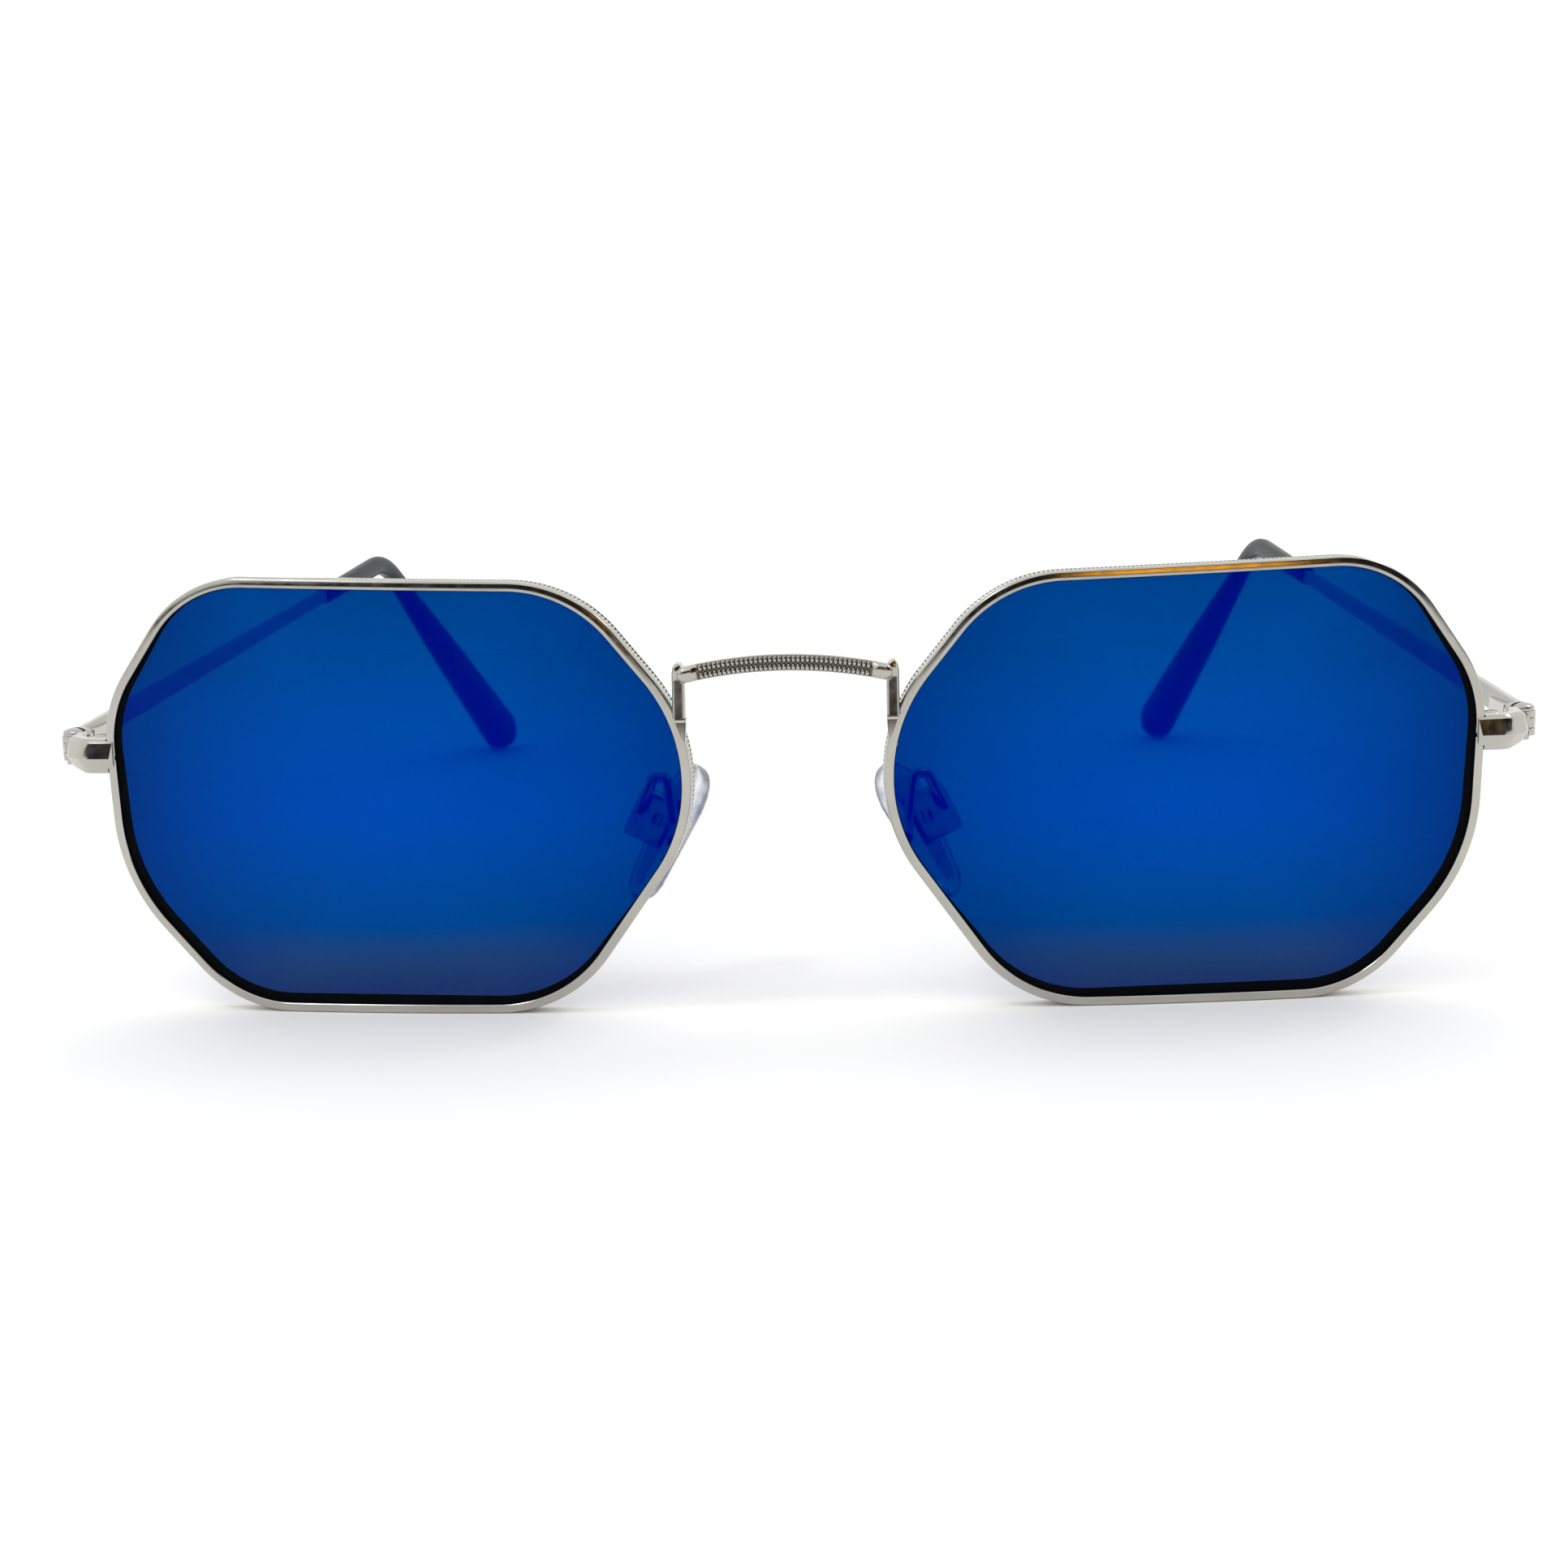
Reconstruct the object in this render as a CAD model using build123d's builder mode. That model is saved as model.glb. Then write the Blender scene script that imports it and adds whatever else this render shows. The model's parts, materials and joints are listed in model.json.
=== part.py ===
from build123d import *
import os
from math import asin, cos, degrees, radians, sin

# Thin metal sunglasses with eight-sided lenses, standing open on a table on the rim
# bottoms and the tips of the arms.  Millimetres, +Z up, the front faces -Y and +X is
# the wearer's left.  The origin is at the middle of the footprint, on the table.
# The wearer's left half is modelled and the right half is its mirror image.

# Heights written as "v" are measured up from the centre of the lens opening, and
# depths written as "d" are measured back from the upright datum plane of the front.
DATUM_Y = -71.0           # the datum plane, which puts the origin at half the depth

# Lens opening: sharp corners before rounding, u towards the temple and v up
OPENING = [
    (-16.4, 18.75),
    (19.3, 19.65),
    (27.4, 8.0),
    (26.9, -7.8),
    (16.5, -19.9),
    (-14.6, -19.9),
    (-26.3, -3.4),
    (-26.3, 6.5),
]
OPENING_RADII = [12, 10, 11, 16, 11, 12, 14, 15]
LENS_SPREAD = 36.1        # lens centre to the middle of the bridge
WRAP = 4.0                # turn of each lens back towards the temple, in degrees
VERTEX_D = -1.25          # middle of the rim's front surface, ahead of the datum

# Rim and lens: spherical shells, so that both bulge forwards together
FRONT_RADIUS = 220.0      # radius of the rim's front surface
RIM_BAND = 0.9            # width of the rim seen from the front
RIM_DEPTH = 2.4           # front to back
LENS_FRONT = 0.4          # lens surfaces, measured behind the rim's front
LENS_BACK = 2.2
BEVEL_FRONT = 0.7         # tongue round the lens edge, seated in the rim's groove
BEVEL_BACK = 1.7
BEVEL_BITE = 0.45
LENS_GAP = 0.05
LENS_V0 = RIM_BAND - min(v for u, v in OPENING)   # height of v = 0 above the table

# Bridge: an arched bar with a short post behind each end
BRIDGE_HALF = 9.8
BRIDGE_END_V = 10.9
BRIDGE_APEX_V = 12.2
BRIDGE_HEIGHT = 1.5
BRIDGE_FRONT_D = -3.0
BRIDGE_BACK_D = -1.4
POST_X = 9.75
POST_WIDTH = 1.2
POST_DEPTH = 1.6
POST_BOTTOM_V = 3.6
POST_TOP_V = 12.1
POST_ROUND = 0.5

# End piece: a faceted strip that covers the rim's joint and turns back to the hinge
STRIP_ROUTE = [(63.35, 2.7), (66.1, 2.9), (68.0, 4.8), (68.0, 6.8)]
STRIP_BEND = 1.6
STRIP_V = 3.8
STRIP_HALF = 1.65
STRIP_THICK = 1.5
FACET_TOP = 1.3           # the middle facet of the strip's front, from edge to edge
FACET_LOW = -0.2
FACET_LEAN = 0.33         # how far its upper edge leans back
STRIP_NOSE = [(63.2, 1.7), (63.95, 1.7), (63.2, 2.45)]   # cut off the end over the rim
STRIP_RISE = [(66.4, 2.1), (70.0, 2.1), (70.0, 3.3)]   # cut away under the hinge end

# Closing block behind the end piece, split level with the rim's joint
BLOCK_X0 = 63.6
BLOCK_X1 = 66.3
BLOCK_D0 = 3.6
BLOCK_D1 = 6.4
BLOCK_LOW_V = 2.2
BLOCK_TOP_V = 5.0
JOINT_V = 3.6
JOINT_GAP = 0.3
CLOSING_X = 65.2
CLOSING_D = 5.1
CLOSING_R = 0.55
CLOSING_HEAD_R = 0.9
CLOSING_HEAD = 0.5

# Hinge: two knuckles on the front, one on the arm, one slotted screw
HINGE_X = 68.8
HINGE_D = 8.5
BARREL_R = 1.45
PIN_R = 0.7
PIN_CLEARANCE = 0.03
FIT_GAP = 0.01            # between pieces that are screwed tight together
KNUCKLE_LOW_V = 2.6
KNUCKLE_TOP_V = 4.95
MIDDLE_LOW_V = 3.4
MIDDLE_TOP_V = 4.25
KNUCKLE_GAP = 0.08
SWING_GAP = 0.15
FRONT_LEAF = (66.4, 68.8, 5.2, 6.9)      # x from, x to, d from, d to
FRONT_NECK = (67.6, 68.8, 6.6, 8.5)
ARM_LEAF = (67.75, 68.9, 10.3, 15.5)
ARM_LEAF_LOW_V = 3.2
ARM_LEAF_TOP_V = 5.1
HEAD_R = 1.3
HEAD_HEIGHT = 0.7
SLOT_WIDTH = 0.35
SLOT_DEPTH = 0.25

# Arm and tip: straight to the bend over the ear, then down to the table
ARM_START = (69.2, 10.3, 4.15)           # x, d, v
ARM_BEND = (59.9, 107.0, 12.0)
ARM_END = (50.4, 143.82, -19.27)
EAR_BEND = 11.0
SLEEVE_SHARE = 0.75       # where the tip's sleeve starts, as a share of the straight
ARM_FRONT = (1.2, 2.2)    # thickness and height of the strip at the hinge
ARM_BACK = (1.1, 1.5)     # and where it enters the sleeve
ARM_ROUND = 0.3
CORE_R = 0.55
CORE_SHORT = 9.0
TIP_START = (1.9, 2.2)    # thickness and height of the sleeve along its length
TIP_BEND = (2.0, 2.5)
TIP_SWELL = (3.7, 4.3)
TIP_END = (5.3, 6.4)
SWELL_SHARE = 0.4         # where the swell is, as a share of the drop behind the ear
TIP_FULLNESS = 0.47       # corner radius as a share of the thickness
TIP_ROUND = 2.2

# Nose pad: a silicone pad on a metal insert that rocks in a small box
PAD_SPOT = (12.35, 8.9, -4.5)            # centre of the pad's back face: x, d, v
PAD_SPLAY = 26.0          # back edge turned away from the nose, in degrees
PAD_SLANT = 29.0          # lower end away from the nose, in degrees
PAD_THICK = 2.3
PAD_TOP = (3.7, 2.5)      # radius and height of the pad's upper circle
PAD_FOOT = (2.7, -5.2)
PAD_ROUND = 0.85
PLATE_INSET = 1.5
PLATE_THICK = 0.5
LUG_THICK = 0.8
LUG_R = 0.85
PIVOT_DEPTH = 1.35
PIVOT_R = 0.35
BOX_SIZE = (3.4, 5.0)     # across and along the pad
BOX_FRONT = 0.5
BOX_BACK = 2.9
BOX_SLOT = 1.0
BOX_SLOT_BACK = 2.35
BOX_ROUND = 0.9
PAD_SCREW_HEAD_R = 0.65
PAD_SCREW_HEAD = 0.35
WIRE_R = 0.5
WIRE_BEND = 0.75
WIRE_ROUTE = [(10.95, 0.8, -4.6), (10.95, 3.2, -3.8), (11.6, 4.9, 0.7), (12.95, 5.9, 0.5)]


def spot(x, d, v):
    """A place given by x, depth behind the datum plane and height over the lens centre."""
    return Vector(x, DATUM_Y + d, LENS_V0 + v)


def level(v):
    """Horizontal plane at height v, with its origin on the datum plane."""
    return Plane(origin=spot(0, 0, v), x_dir=(1, 0, 0), z_dir=(0, 0, 1))


WRAP_COS = cos(radians(WRAP))
WRAP_SIN = sin(radians(WRAP))
LENS_PLANE = Plane(
    origin=spot(LENS_SPREAD, VERTEX_D, 0),
    x_dir=(WRAP_COS, WRAP_SIN, 0),
    z_dir=(WRAP_SIN, -WRAP_COS, 0),
)
SECTION_PLANE = Plane(origin=LENS_PLANE.origin, x_dir=LENS_PLANE.x_dir, z_dir=(0, 0, -1))
CAP_REACH = 34.0          # the spherical caps reach past the farthest corner
CAP_ANGLE = degrees(asin(CAP_REACH / FRONT_RADIUS))
PRISM_REACH = 12.0


def dish(front, back):
    """Cap between two spheres, from front to back behind the rim's front surface."""
    with BuildPart() as cap:
        with BuildSketch(SECTION_PLANE):
            with BuildLine():
                outer = CenterArc((0, -FRONT_RADIUS), FRONT_RADIUS - front, 90 - CAP_ANGLE, CAP_ANGLE)
                inner = CenterArc((0, -FRONT_RADIUS), FRONT_RADIUS - back, 90 - CAP_ANGLE, CAP_ANGLE)
                Line(outer @ 0, inner @ 0)
                Line(outer @ 1, inner @ 1)
            make_face()
        revolve(axis=Axis(LENS_PLANE.origin, LENS_PLANE.z_dir))
    return cap.part


def prism(grow):
    """Prism on the lens opening, grown evenly by grow, running through the lens."""
    with BuildPart() as block:
        with BuildSketch(LENS_PLANE):
            with BuildLine():
                FilletPolyline(*OPENING, radius=OPENING_RADII, close=True)
            make_face()
            if grow != 0:
                offset(amount=grow)
        extrude(amount=PRISM_REACH, both=True)
    return block.part


def slab(grow, front, back):
    """The opening's shape, grown evenly, between two of the spherical surfaces."""
    with BuildPart() as plate:
        add(prism(grow))
        add(dish(front, back), mode=Mode.INTERSECT)
    return plate.part


# --- Rim and lens -------------------------------------------------------------------
rim_solid = slab(RIM_BAND, 0, RIM_DEPTH)
lens_opening = prism(0)
groove = slab(BEVEL_BITE, BEVEL_FRONT, BEVEL_BACK)

with BuildPart() as rim:
    add(rim_solid)
    add(lens_opening, mode=Mode.SUBTRACT)
    add(groove, mode=Mode.SUBTRACT)
    with BuildSketch(level(JOINT_V - JOINT_GAP / 2)):
        with Locations((BLOCK_X0, (BLOCK_D0 + BLOCK_D1) / 2)):
            Rectangle(2 * (BLOCK_X1 - BLOCK_X0), 2 * (BLOCK_D1 - BLOCK_D0))
    extrude(amount=JOINT_GAP, mode=Mode.SUBTRACT)

lens_body = slab(-LENS_GAP, LENS_FRONT, LENS_BACK)
lens_tongue = slab(BEVEL_BITE - LENS_GAP, BEVEL_FRONT + LENS_GAP, BEVEL_BACK - LENS_GAP)

with BuildPart() as lens:
    add(lens_body)
    add(lens_tongue)

# --- Bridge and its posts -----------------------------------------------------------
with BuildPart() as bridge:
    with BuildSketch(Plane(origin=spot(0, BRIDGE_BACK_D, 0), x_dir=(1, 0, 0), z_dir=(0, -1, 0))):
        with BuildLine():
            ThreePointArc(
                (-BRIDGE_HALF, BRIDGE_END_V),
                (0, BRIDGE_APEX_V),
                (BRIDGE_HALF, BRIDGE_END_V),
            )
        trace(line_width=BRIDGE_HEIGHT)
    extrude(amount=BRIDGE_BACK_D - BRIDGE_FRONT_D)
    fillet(bridge.edges().filter_by(Axis.Y), radius=0.45 * BRIDGE_HEIGHT)

with BuildPart() as bridge_post:
    with BuildSketch(level(POST_BOTTOM_V)):
        with Locations((POST_X, BRIDGE_BACK_D + POST_DEPTH / 2)):
            Rectangle(POST_WIDTH, POST_DEPTH)
    extrude(amount=POST_TOP_V - POST_BOTTOM_V)
    fillet(bridge_post.edges().group_by(Axis.Z)[-1].filter_by(Axis.Y), radius=POST_ROUND)
    add(rim_solid, mode=Mode.SUBTRACT)

# --- End piece ----------------------------------------------------------------------
with BuildPart() as end_piece:
    with BuildLine(level(STRIP_V)) as strip_route:
        FilletPolyline(*STRIP_ROUTE, radius=STRIP_BEND)
    strip_start = Plane(
        origin=strip_route.line @ 0,
        x_dir=(strip_route.line % 0).rotate(Axis.Z, 90),
        z_dir=strip_route.line % 0,
    )
    with BuildSketch(strip_start):
        with BuildLine():
            Polyline(
                (STRIP_THICK / 2, -STRIP_HALF),
                (STRIP_THICK / 2, STRIP_HALF),
                (0, STRIP_HALF),
                (FACET_LEAN - STRIP_THICK / 2, FACET_TOP),
                (-STRIP_THICK / 2, FACET_LOW),
                (0, -STRIP_HALF),
                close=True,
            )
        make_face()
    sweep()
    with BuildSketch(Plane(origin=spot(0, 0, 0), x_dir=(1, 0, 0), z_dir=(0, -1, 0))):
        with BuildLine():
            Polyline(*STRIP_RISE, close=True)
        make_face()
    extrude(amount=2 * HINGE_D, both=True, mode=Mode.SUBTRACT)
    with BuildSketch(level(STRIP_V)):
        with BuildLine():
            Polyline(*STRIP_NOSE, close=True)
        make_face()
    extrude(amount=2 * STRIP_HALF, both=True, mode=Mode.SUBTRACT)
    add(rim_solid, mode=Mode.SUBTRACT)

# --- Closing block and its screw ----------------------------------------------------


def closing_block(low, top, hole_r):
    """One half of the block, hugging the rim and the end piece, with its screw hole."""
    with BuildPart() as half:
        with BuildSketch(level(low)):
            with Locations(((BLOCK_X0 + BLOCK_X1) / 2, (BLOCK_D0 + BLOCK_D1) / 2)):
                Rectangle(BLOCK_X1 - BLOCK_X0, BLOCK_D1 - BLOCK_D0)
            with Locations((CLOSING_X, CLOSING_D)):
                Circle(hole_r, mode=Mode.SUBTRACT)
        extrude(amount=top - low)
        add(rim_solid, mode=Mode.SUBTRACT)
        add(end_piece.part, mode=Mode.SUBTRACT)
    return half.part


with BuildPart() as closing_block_lower:
    add(closing_block(BLOCK_LOW_V, JOINT_V - JOINT_GAP / 2, CLOSING_R + FIT_GAP))

with BuildPart() as closing_block_upper:
    add(closing_block(JOINT_V + JOINT_GAP / 2, BLOCK_TOP_V, CLOSING_R + FIT_GAP))

with BuildPart() as closing_screw:
    with BuildSketch(level(BLOCK_LOW_V)):
        with Locations((CLOSING_X, CLOSING_D)):
            Circle(CLOSING_R)
    extrude(amount=BLOCK_TOP_V - BLOCK_LOW_V)
    with BuildSketch(level(BLOCK_TOP_V)):
        with Locations((CLOSING_X, CLOSING_D)):
            Circle(CLOSING_HEAD_R)
    extrude(amount=CLOSING_HEAD)
    with BuildSketch(level(BLOCK_TOP_V + CLOSING_HEAD - SLOT_DEPTH)):
        with Locations((CLOSING_X, CLOSING_D)):
            Rectangle(3 * CLOSING_HEAD_R, SLOT_WIDTH)
    extrude(amount=SLOT_DEPTH, mode=Mode.SUBTRACT)

# --- Arm ----------------------------------------------------------------------------
arm_start = spot(*ARM_START)
arm_bend = spot(*ARM_BEND)
arm_end = spot(*ARM_END)
straight = (arm_bend - arm_start).normalized()
drop = (arm_end - arm_bend).normalized()
sideways = straight.cross(drop).normalized()
sleeve_start = arm_start + (arm_bend - arm_start) * SLEEVE_SHARE
core_end = arm_end - drop * CORE_SHORT


def station(place, heading):
    """Plane across the arm at a place, with its x axis out of the arm's side."""
    return Plane(origin=place, x_dir=sideways, z_dir=heading)


with BuildPart() as arm_core:
    with BuildLine():
        FilletPolyline(sleeve_start, arm_bend, core_end, radius=EAR_BEND)
    with BuildSketch(station(sleeve_start, straight)):
        Circle(CORE_R)
    sweep()

with BuildPart() as temple_arm:
    with BuildSketch(station(arm_start, straight)):
        RectangleRounded(*ARM_FRONT, ARM_ROUND)
    with BuildSketch(station(sleeve_start, straight)):
        RectangleRounded(*ARM_BACK, ARM_ROUND)
    loft()
    add(arm_core.part)

# --- Tip ----------------------------------------------------------------------------


def tip_section(thickness, height):
    """Flat-sided oval across the tip."""
    RectangleRounded(thickness, height, TIP_FULLNESS * thickness)


with BuildPart() as core_channel:
    with BuildLine():
        FilletPolyline(sleeve_start, arm_bend, core_end, radius=EAR_BEND)
    with BuildSketch(station(sleeve_start, straight)):
        Circle(CORE_R + PIN_CLEARANCE)
    sweep()

with BuildPart() as temple_tip:
    with BuildLine() as tip_route:
        FilletPolyline(sleeve_start, arm_bend, arm_end, radius=EAR_BEND)
    ear_arc = tip_route.edges().filter_by(GeomType.CIRCLE)[0]
    with BuildSketch(station(sleeve_start, straight)):
        tip_section(*TIP_START)
    with BuildSketch(station(ear_arc @ 0, straight)):
        tip_section(*TIP_BEND)
    loft()
    with BuildSketch(station(ear_arc @ 0, straight)):
        tip_section(*TIP_BEND)
    sweep(path=ear_arc)
    swell = ear_arc @ 1 + (arm_end - ear_arc @ 1) * SWELL_SHARE
    with BuildSketch(station(ear_arc @ 1, drop)):
        tip_section(*TIP_BEND)
    with BuildSketch(station(swell, drop)):
        tip_section(*TIP_SWELL)
    loft()
    with BuildSketch(station(swell, drop)):
        tip_section(*TIP_SWELL)
    with BuildSketch(station(arm_end, drop)):
        tip_section(*TIP_END)
    loft()
    tip_face = temple_tip.faces().filter_by(GeomType.PLANE).sort_by(Axis.Y)[-1]
    fillet(tip_face.edges(), radius=TIP_ROUND)
    add(core_channel.part, mode=Mode.SUBTRACT)

# --- Hinge --------------------------------------------------------------------------


def leaf(x_from, x_to, d_from, d_to):
    """Rectangle of a hinge leaf, given by its edges, in a level plane."""
    with Locations(((x_from + x_to) / 2, (d_from + d_to) / 2)):
        Rectangle(x_to - x_from, d_to - d_from)


with BuildPart() as hinge_front:
    with BuildSketch(level(KNUCKLE_LOW_V)):
        leaf(*FRONT_LEAF)
        leaf(*FRONT_NECK)
        with Locations((HINGE_X, HINGE_D)):
            Circle(BARREL_R)
            Circle(PIN_R + FIT_GAP, mode=Mode.SUBTRACT)
    extrude(amount=KNUCKLE_TOP_V - KNUCKLE_LOW_V)
    with BuildSketch(level(MIDDLE_LOW_V - KNUCKLE_GAP)):
        with Locations((HINGE_X, HINGE_D)):
            Circle(BARREL_R + SWING_GAP)
    extrude(amount=MIDDLE_TOP_V - MIDDLE_LOW_V + 2 * KNUCKLE_GAP, mode=Mode.SUBTRACT)
    add(end_piece.part, mode=Mode.SUBTRACT)

with BuildPart() as hinge_temple:
    with BuildSketch(level(MIDDLE_LOW_V)):
        leaf(ARM_LEAF[0], ARM_LEAF[1], HINGE_D, ARM_LEAF[3])
        with Locations((HINGE_X, HINGE_D)):
            Circle(BARREL_R)
            Circle(PIN_R + PIN_CLEARANCE, mode=Mode.SUBTRACT)
    extrude(amount=MIDDLE_TOP_V - MIDDLE_LOW_V)
    with BuildSketch(level(ARM_LEAF_LOW_V)):
        leaf(*ARM_LEAF)
    extrude(amount=ARM_LEAF_TOP_V - ARM_LEAF_LOW_V)
    add(temple_arm.part, mode=Mode.SUBTRACT)

with BuildPart() as hinge_screw:
    with BuildSketch(level(KNUCKLE_LOW_V)):
        with Locations((HINGE_X, HINGE_D)):
            Circle(PIN_R)
    extrude(amount=KNUCKLE_TOP_V - KNUCKLE_LOW_V)
    with BuildSketch(level(KNUCKLE_TOP_V)):
        with Locations((HINGE_X, HINGE_D)):
            Circle(HEAD_R)
    extrude(amount=HEAD_HEIGHT)
    with BuildSketch(level(KNUCKLE_TOP_V + HEAD_HEIGHT - SLOT_DEPTH)):
        with Locations(Location((HINGE_X, HINGE_D), 35)):
            Rectangle(3 * HEAD_R, SLOT_WIDTH)
    extrude(amount=SLOT_DEPTH, mode=Mode.SUBTRACT)

# --- Nose pad -----------------------------------------------------------------------
splay = radians(PAD_SPLAY)
slant = radians(PAD_SLANT)
to_nose = Vector(-cos(splay) * cos(slant), sin(splay) * cos(slant), -sin(slant))
up_pad = Vector(-cos(splay) * sin(slant), sin(splay) * sin(slant), cos(slant))
across_pad = up_pad.cross(to_nose)
PAD_PLANE = Plane(origin=spot(*PAD_SPOT), x_dir=across_pad, z_dir=to_nose)
PIVOT_PLANE = Plane(
    origin=PAD_PLANE.from_local_coords((0, 0, -PIVOT_DEPTH)),
    x_dir=up_pad,
    z_dir=across_pad,
)


def pad_outline(inset):
    """Egg-shaped outline of the pad, drawn in by inset."""
    for radius, height in (PAD_TOP, PAD_FOOT):
        with Locations((0, height)):
            Circle(radius - inset)
    make_hull()


with BuildPart() as nose_pad:
    with BuildSketch(PAD_PLANE):
        pad_outline(0)
    extrude(amount=PAD_THICK)
    fillet(nose_pad.edges(), radius=PAD_ROUND)
    with BuildSketch(PAD_PLANE):
        pad_outline(PLATE_INSET)
    extrude(amount=PLATE_THICK, mode=Mode.SUBTRACT)

with BuildPart() as pad_insert:
    with BuildSketch(PAD_PLANE):
        pad_outline(PLATE_INSET + FIT_GAP)
    extrude(amount=PLATE_THICK - FIT_GAP)
    with BuildSketch(PIVOT_PLANE.offset(-LUG_THICK / 2)):
        Circle(LUG_R)
        with Locations((0, PIVOT_DEPTH / 2)):
            Rectangle(2 * LUG_R, PIVOT_DEPTH)
        Circle(PIVOT_R + PIN_CLEARANCE, mode=Mode.SUBTRACT)
    extrude(amount=LUG_THICK)

with BuildPart() as pad_box:
    with BuildSketch(PAD_PLANE.offset(-BOX_BACK)):
        RectangleRounded(*BOX_SIZE, BOX_ROUND)
    extrude(amount=BOX_BACK - BOX_FRONT)
    with BuildSketch(PAD_PLANE.offset(-BOX_SLOT_BACK)):
        Rectangle(BOX_SLOT, 2 * BOX_SIZE[1])
    extrude(amount=BOX_SLOT_BACK, mode=Mode.SUBTRACT)
    with BuildSketch(PIVOT_PLANE):
        Circle(PIVOT_R + FIT_GAP)
    extrude(amount=BOX_SIZE[0], both=True, mode=Mode.SUBTRACT)

with BuildPart() as pad_screw:
    with BuildSketch(PIVOT_PLANE.offset(-BOX_SIZE[0] / 2)):
        Circle(PIVOT_R)
    extrude(amount=BOX_SIZE[0])
    with BuildSketch(PIVOT_PLANE.offset(BOX_SIZE[0] / 2)):
        Circle(PAD_SCREW_HEAD_R)
    extrude(amount=PAD_SCREW_HEAD)
    with BuildSketch(PIVOT_PLANE.offset(BOX_SIZE[0] / 2 + PAD_SCREW_HEAD / 2)):
        Rectangle(3 * PAD_SCREW_HEAD_R, SLOT_WIDTH / 2)
    extrude(amount=PAD_SCREW_HEAD / 2, mode=Mode.SUBTRACT)

with BuildPart() as pad_arm:
    with BuildLine() as wire_route:
        box_end = PAD_PLANE.from_local_coords((0, 0, -BOX_BACK))
        FilletPolyline(*[spot(*place) for place in WIRE_ROUTE], box_end, radius=WIRE_BEND)
    with BuildSketch(Plane(origin=wire_route.line @ 0, z_dir=wire_route.line % 0)):
        Circle(WIRE_R)
    sweep()
    add(rim_solid, mode=Mode.SUBTRACT)
    add(pad_box.part, mode=Mode.SUBTRACT)

# --- Files --------------------------------------------------------------------------
os.makedirs("parts", exist_ok=True)
bridge.part.label = "bridge"
export_step(bridge.part, "parts/bridge.step")

PAIRED = {
    "rim": rim,
    "lens": lens,
    "bridge_post": bridge_post,
    "end_piece": end_piece,
    "closing_block_upper": closing_block_upper,
    "closing_block_lower": closing_block_lower,
    "closing_screw": closing_screw,
    "hinge_front": hinge_front,
    "hinge_temple": hinge_temple,
    "hinge_screw": hinge_screw,
    "temple_arm": temple_arm,
    "temple_tip": temple_tip,
    "pad_arm": pad_arm,
    "pad_box": pad_box,
    "pad_screw": pad_screw,
    "pad_insert": pad_insert,
    "nose_pad": nose_pad,
}

for name, piece in PAIRED.items():
    with BuildPart() as twin:
        mirror(piece.part, about=Plane.YZ)
    piece.part.label = "left_" + name
    export_step(piece.part, f"parts/left_{name}.step")
    twin.part.label = "right_" + name
    export_step(twin.part, f"parts/right_{name}.step")
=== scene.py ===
import json
from math import ceil, cos, pi, radians, sin, sqrt, tan

import bmesh
import bpy
from mathutils import Matrix, Vector


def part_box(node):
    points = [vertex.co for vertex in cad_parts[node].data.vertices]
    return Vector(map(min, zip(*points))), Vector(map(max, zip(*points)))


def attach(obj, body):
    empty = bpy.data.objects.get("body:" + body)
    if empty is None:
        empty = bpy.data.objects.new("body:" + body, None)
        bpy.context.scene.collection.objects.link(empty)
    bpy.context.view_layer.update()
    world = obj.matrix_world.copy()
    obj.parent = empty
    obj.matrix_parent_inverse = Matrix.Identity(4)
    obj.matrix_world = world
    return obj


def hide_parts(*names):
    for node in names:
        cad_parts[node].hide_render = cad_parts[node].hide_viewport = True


# The looks of a pair of thin metal sunglasses with eight-sided blue mirror lenses.
# Shapes are worked out in millimetres, in the frame of the model, and become metres
# in solid().  The left half is modelled and mirrored() makes the right half.

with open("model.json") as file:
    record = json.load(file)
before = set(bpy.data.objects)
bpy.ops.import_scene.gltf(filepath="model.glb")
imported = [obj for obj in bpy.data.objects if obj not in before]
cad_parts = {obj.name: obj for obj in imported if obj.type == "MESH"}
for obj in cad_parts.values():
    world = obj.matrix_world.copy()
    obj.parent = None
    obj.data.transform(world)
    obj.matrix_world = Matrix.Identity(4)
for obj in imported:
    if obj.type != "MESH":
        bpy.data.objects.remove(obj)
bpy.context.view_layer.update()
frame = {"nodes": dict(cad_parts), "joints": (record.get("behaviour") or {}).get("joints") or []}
MM = 0.001

JOINTS = {joint["name"]: joint for joint in frame["joints"]}
HINGE = Vector(JOINTS["left_temple_fold"]["pos_m"]) / MM
PAD_PIVOT = Vector(JOINTS["left_pad_rock"]["pos_m"]) / MM
SIDES = {"left": 1, "right": -1}


def corner(node, which):
    """Lowest (0) or highest (1) corner of a CAD node's box, in millimetres."""
    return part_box(node)[which] / MM


# --- Mesh helpers -------------------------------------------------------------------
WELD = 0.001              # distance within which the CAD's points are joined
FLAT_WITHIN = 1           # degrees: faces closer than this to one plane become one
SOFTEN_ABOVE = 24         # degrees: edges sharper than this are rounded
CRISP_ABOVE = 40          # degrees: edges sharper than this stay crisp
BEVEL_STEPS = 3


def placed(name, data):
    """A new object in the scene that holds the mesh, lamp or camera."""
    made = bpy.data.objects.new(name, data)
    bpy.context.scene.collection.objects.link(made)
    return made


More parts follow.
